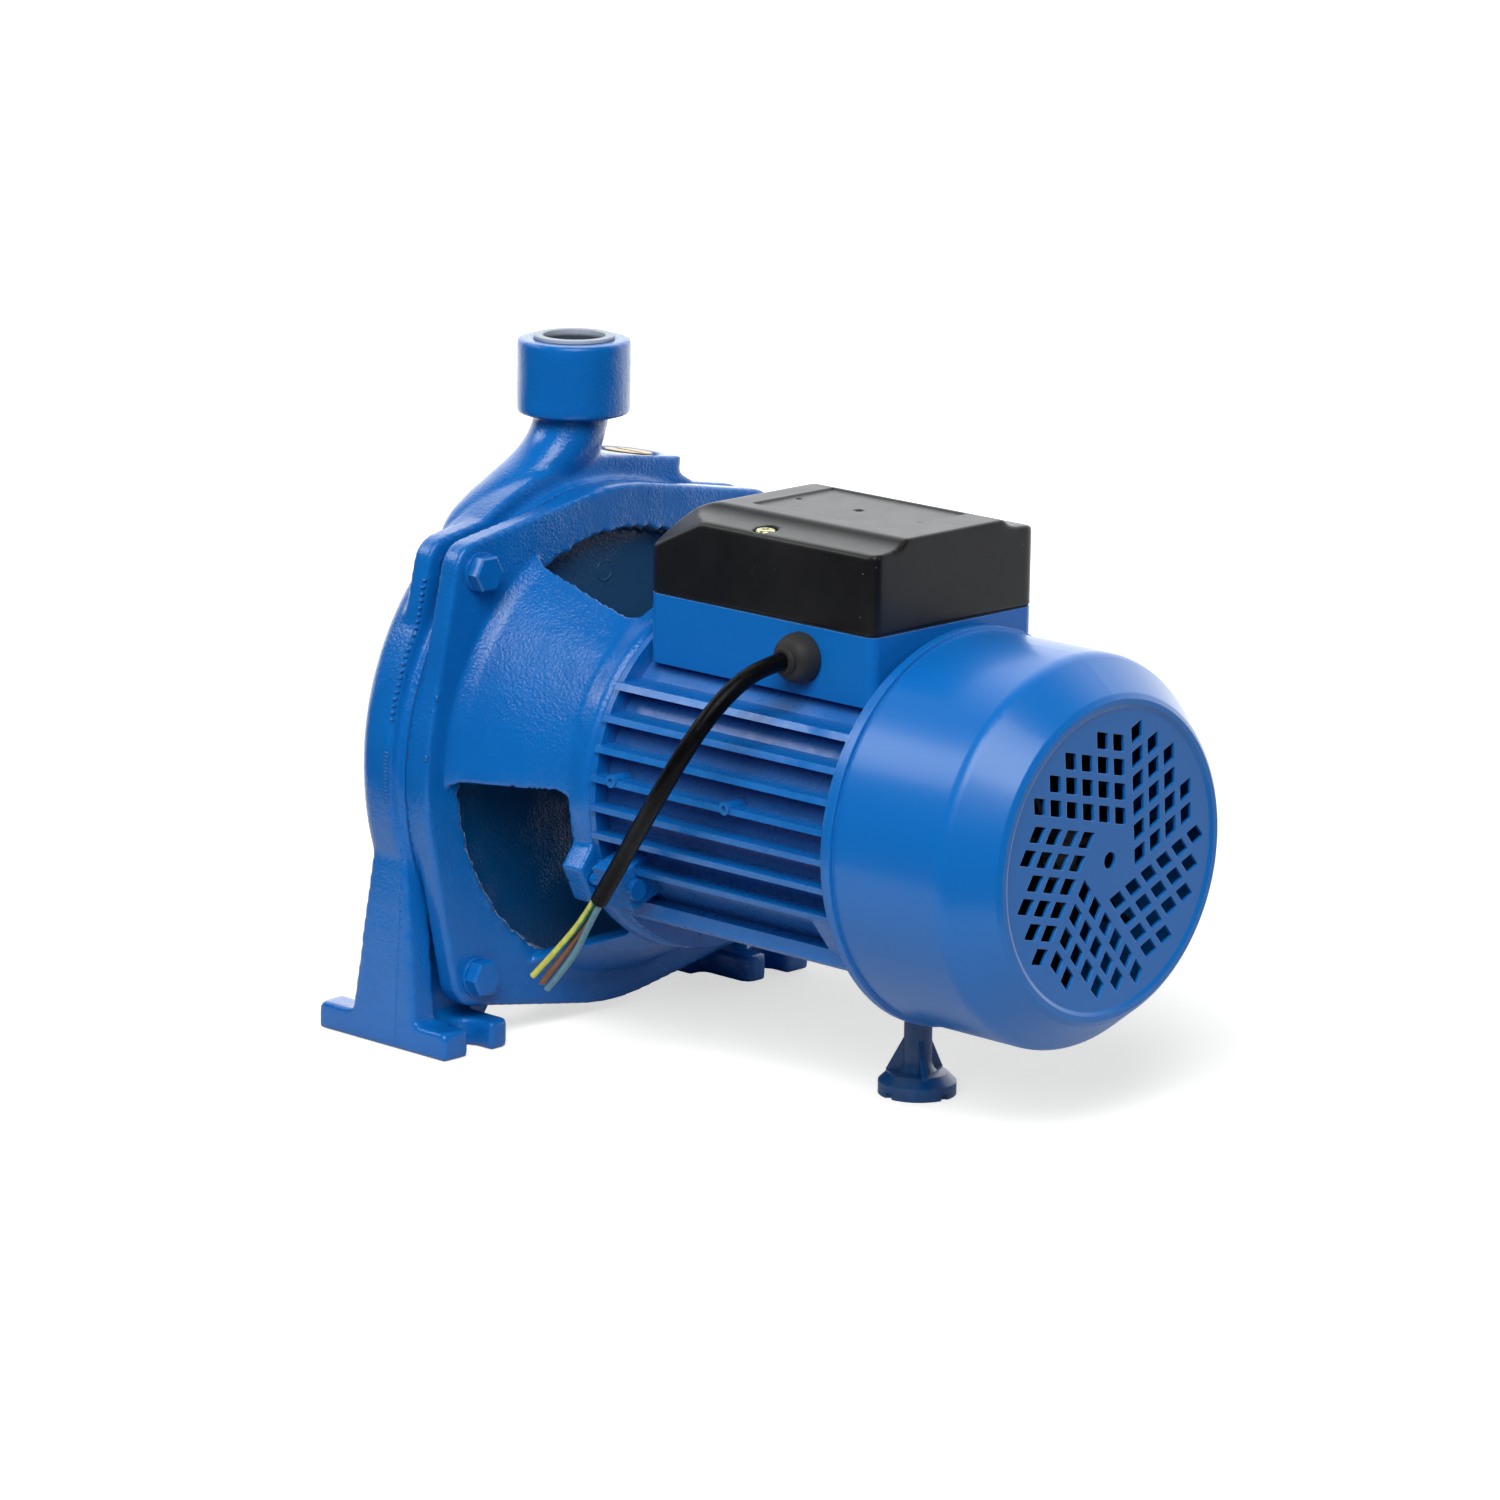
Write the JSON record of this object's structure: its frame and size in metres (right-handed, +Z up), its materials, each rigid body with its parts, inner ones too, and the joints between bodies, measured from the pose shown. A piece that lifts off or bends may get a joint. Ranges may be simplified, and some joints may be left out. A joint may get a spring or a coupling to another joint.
{
  "type": "centrifugal water pump",
  "caption": "Blue close-coupled centrifugal water pump with a finned, fan-cooled motor, a black terminal box cover and a bare-ended supply cable.",
  "frame": {"origin": "on the base plane, midway between the four foot slots, under the axis of the outlet", "axes": "+X along the shaft from the pump to the fan, +Z up, -Y the side that the cable comes out of"},
  "size_m": [0.3318, 0.217, 0.2679],
  "materials": {
    "blue_enamel": "gloss",
    "black_plastic": "satin",
    "black_rubber": "matte",
    "cable_sheath": "satin",
    "earth_insulation": "satin",
    "live_insulation": "satin",
    "neutral_insulation": "satin",
    "pale_plastic": "satin",
    "brass": "satin",
    "zinc_steel": "satin",
    "gasket_fibre": "matte",
    "seal_ceramic": "gloss",
    "polished_steel": "satin",
    "lamination_steel": "matte",
    "cast_aluminium": "satin",
    "copper_winding": "satin",
    "dark_nylon": "satin",
    "grey_plastic": "satin"
  },
  "bodies": {
    "root": {"bearing_wave_spring": "polished_steel", "cable_gland": "black_rubber", "capacitor_clip": "polished_steel", "casing_bolt_washers": "blue_enamel", "casing_bolts": "blue_enamel", "casing_gasket": "gasket_fibre", "cover_screws": "zinc_steel", "drain_plug": "brass", "drain_plug_washer": "gasket_fibre", "earth_wire": "earth_insulation", "end_shield_screws": "zinc_steel", "fan_cover": "blue_enamel", "front_bearing_outer_ring": "polished_steel", "live_wire": "live_insulation", "motor_bracket": "blue_enamel", "motor_frame": "blue_enamel", "neutral_wire": "neutral_insulation", "power_cable": "cable_sheath", "priming_plug": "brass", "priming_plug_washer": "gasket_fibre", "pump_casing": "blue_enamel", "rear_bearing_outer_ring": "polished_steel", "rear_end_shield": "cast_aluminium", "rear_foot": "blue_enamel", "rear_foot_screw": "zinc_steel", "run_capacitor": "grey_plastic", "seal_seat": "seal_ceramic", "seal_seat_cup": "black_rubber", "stator_core": "lamination_steel", "stator_windings": "copper_winding", "terminal_block": "dark_nylon", "terminal_box_base": "blue_enamel", "terminal_box_cover": "black_plastic", "terminal_box_gasket": "black_rubber", "terminal_studs": "brass", "tie_bolts": "blue_enamel"},
    "rotor": {"rotor_shaft": "polished_steel", "rotor_core": "lamination_steel", "rotor_end_rings": "cast_aluminium", "impeller": "brass", "impeller_key": "polished_steel", "impeller_nut": "zinc_steel", "impeller_washer": "zinc_steel", "seal_head": "polished_steel", "seal_spring": "polished_steel", "front_bearing_inner_ring": "polished_steel", "rear_bearing_inner_ring": "polished_steel", "cooling_fan": "dark_nylon", "fan_clip": "zinc_steel"},
    "front_cage": {"front_bearing_balls": "polished_steel", "front_bearing_cage": "polished_steel"},
    "rear_cage": {"rear_bearing_balls": "polished_steel", "rear_bearing_cage": "polished_steel"},
    "protector": {"outlet_thread_protector": "pale_plastic"}
  },
  "joints": [
    {"name": "rotor_spin", "type": "hinge", "parent": "root", "child": "rotor", "pos_m": [0.066, 0, 0.108], "axis": [1, 0, 0], "continuous": true},
    {"name": "front_cage_spin", "type": "hinge", "parent": "root", "child": "front_cage", "pos_m": [0.066, 0, 0.108], "axis": [1, 0, 0], "continuous": true},
    {"name": "rear_cage_spin", "type": "hinge", "parent": "root", "child": "rear_cage", "pos_m": [0.219, 0, 0.108], "axis": [1, 0, 0], "continuous": true},
    {"name": "protector_pull", "type": "slide", "parent": "root", "child": "protector", "axis": [0, 0, 1], "range_m": [0, 0.03]}
  ],
  "couplings": [
    {"joint": "front_cage_spin", "follows": "rotor_spin", "ratio": 0.38},
    {"joint": "rear_cage_spin", "follows": "rotor_spin", "ratio": 0.38}
  ]
}
